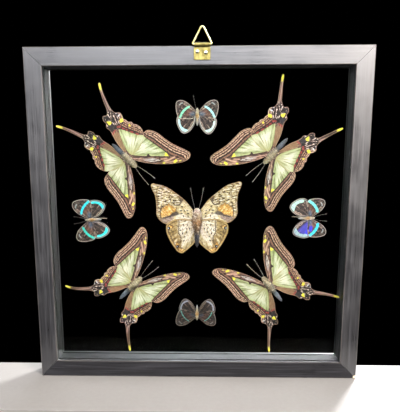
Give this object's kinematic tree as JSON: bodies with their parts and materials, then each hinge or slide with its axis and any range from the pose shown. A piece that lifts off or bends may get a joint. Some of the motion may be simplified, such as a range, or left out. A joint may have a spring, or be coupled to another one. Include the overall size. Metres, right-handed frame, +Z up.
{
  "type": "framed butterfly specimen",
  "caption": "Square black wooden box frame, glazed on both sides, with set butterflies glued inside and a brass hanging ring at the top.",
  "frame": {"origin": "underside of the bottom rail, middle of the width, half way through the whole depth with the ring's eye included", "axes": "+Z up, +X to the right seen from the wall side, -Y out of the wall side that carries the hanging ring, +Y out of the show side"},
  "size_m": [0.305, 0.0294, 0.3208],
  "materials": {
    "painted_wood": "black stain under a satin varnish, open grain",
    "glass": "clear polished float glass",
    "brass": "pale brass plate, lightly brushed",
    "nail": "bright nickel-plated",
    "glue": "clear set glue",
    "kite_wing": "scaled wing, pale green-yellow with brown striped borders",
    "leaf_wing": "scaled wing, buff and silver leaf pattern",
    "small_wing": "scaled wing, dark brown with metallic turquoise bands"
  },
  "bodies": {
    "frame": {"rail_bottom": "painted_wood", "rail_right": "painted_wood", "rail_top": "painted_wood", "rail_left": "painted_wood", "glass_wall_side": "glass", "glass_show_side": "glass", "hanger_plate": "brass", "nail_1": "nail", "nail_2": "nail", "kite_upper_left": "kite_wing", "glue_kite_upper_left": "glue", "kite_upper_right": "kite_wing", "glue_kite_upper_right": "glue", "kite_lower_left": "kite_wing", "glue_kite_lower_left": "glue", "kite_lower_right": "kite_wing", "glue_kite_lower_right": "glue", "leaf_wing_centre": "leaf_wing", "glue_leaf_wing_centre": "glue", "small_top": "small_wing", "glue_small_top": "glue", "small_left": "small_wing", "glue_small_left": "glue", "small_right": "small_wing", "glue_small_right": "glue", "small_bottom": "small_wing", "glue_small_bottom": "glue"},
    "ring": {"hanger_ring": "brass"}
  },
  "joints": [
    {"name": "ring_swing", "type": "hinge", "parent": "frame", "child": "ring", "pos_m": [0.0037, -0.01315, 0.3056], "axis": [1, 0, 0], "range_deg": [-75, 168]}
  ]
}
